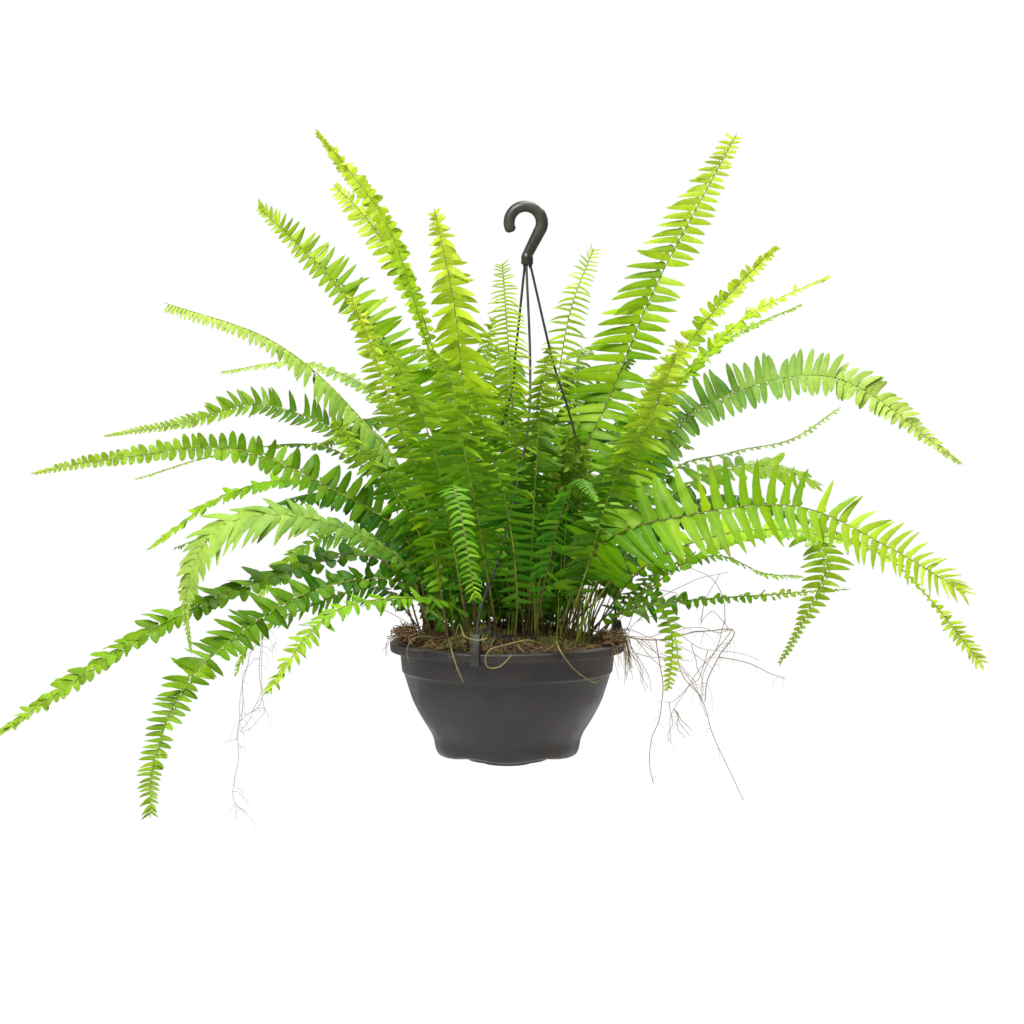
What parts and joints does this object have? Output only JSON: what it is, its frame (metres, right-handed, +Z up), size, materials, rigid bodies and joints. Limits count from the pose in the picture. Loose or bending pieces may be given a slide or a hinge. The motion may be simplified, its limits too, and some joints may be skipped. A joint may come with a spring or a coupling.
{
  "type": "potted fern",
  "caption": "Arching fern with paired leaflets in a round dark hanging pot, on a three-rod hanger with a hook.",
  "frame": {"origin": "the seat inside the top of the hook, where the bar or eye that the pot hangs on lies", "axes": "+Z up, against the pull of the plant's weight; +X along the widest spread of the fronds, to the right as seen from the front; -Y towards the front"},
  "size_m": [1.021, 0.7669, 0.7316],
  "materials": {
    "pot_plastic": "satin",
    "hanger_plastic": "satin",
    "soil": "matte",
    "runner_pale": "satin",
    "root_brown": "matte",
    "leaf_bright": "satin",
    "leaf_green": "satin",
    "leaf_grey_green": "satin",
    "leaf_deep": "satin"
  },
  "bodies": {
    "root": {"pot": "pot_plastic", "soil": "soil", "hook": "hanger_plastic", "rod_front": "hanger_plastic", "rod_right": "hanger_plastic", "rod_back_left": "hanger_plastic", "runner_1": "runner_pale", "runner_2": "runner_pale", "runner_3": "runner_pale", "runner_4": "runner_pale", "roots_right": "root_brown", "roots_left": "root_brown", "frond_up_1": "leaf_bright", "frond_up_2": "leaf_bright", "frond_up_3": "leaf_bright", "frond_up_4": "leaf_bright", "frond_up_5": "leaf_bright", "frond_up_6": "leaf_bright", "frond_up_7": "leaf_bright", "frond_up_8": "leaf_bright", "frond_up_9": "leaf_bright", "frond_up_10": "leaf_green", "frond_up_11": "leaf_bright", "frond_up_12": "leaf_green", "frond_up_13": "leaf_green", "frond_up_14": "leaf_bright", "frond_up_15": "leaf_green", "frond_up_16": "leaf_green", "frond_up_17": "leaf_deep", "frond_right_1": "leaf_grey_green", "frond_right_2": "leaf_grey_green", "frond_right_3": "leaf_deep", "frond_right_4": "leaf_bright", "frond_right_5": "leaf_bright", "frond_right_6": "leaf_green", "frond_right_7": "leaf_green", "frond_right_8": "leaf_green", "frond_right_9": "leaf_green", "frond_left_1": "leaf_grey_green", "frond_left_2": "leaf_grey_green", "frond_left_3": "leaf_deep", "frond_left_4": "leaf_deep", "frond_left_5": "leaf_deep", "frond_left_6": "leaf_green", "frond_left_7": "leaf_grey_green", "frond_left_8": "leaf_deep", "frond_left_9": "leaf_deep", "frond_left_10": "leaf_green", "frond_left_11": "leaf_green", "frond_left_12": "leaf_green", "frond_left_13": "leaf_green", "frond_front_1": "leaf_green", "frond_front_2": "leaf_green", "frond_front_3": "leaf_deep", "frond_front_4": "leaf_green", "fronds_back_right": "leaf_deep", "fronds_back_middle": "leaf_deep", "fronds_back_left": "leaf_deep"}
  },
  "joints": []
}
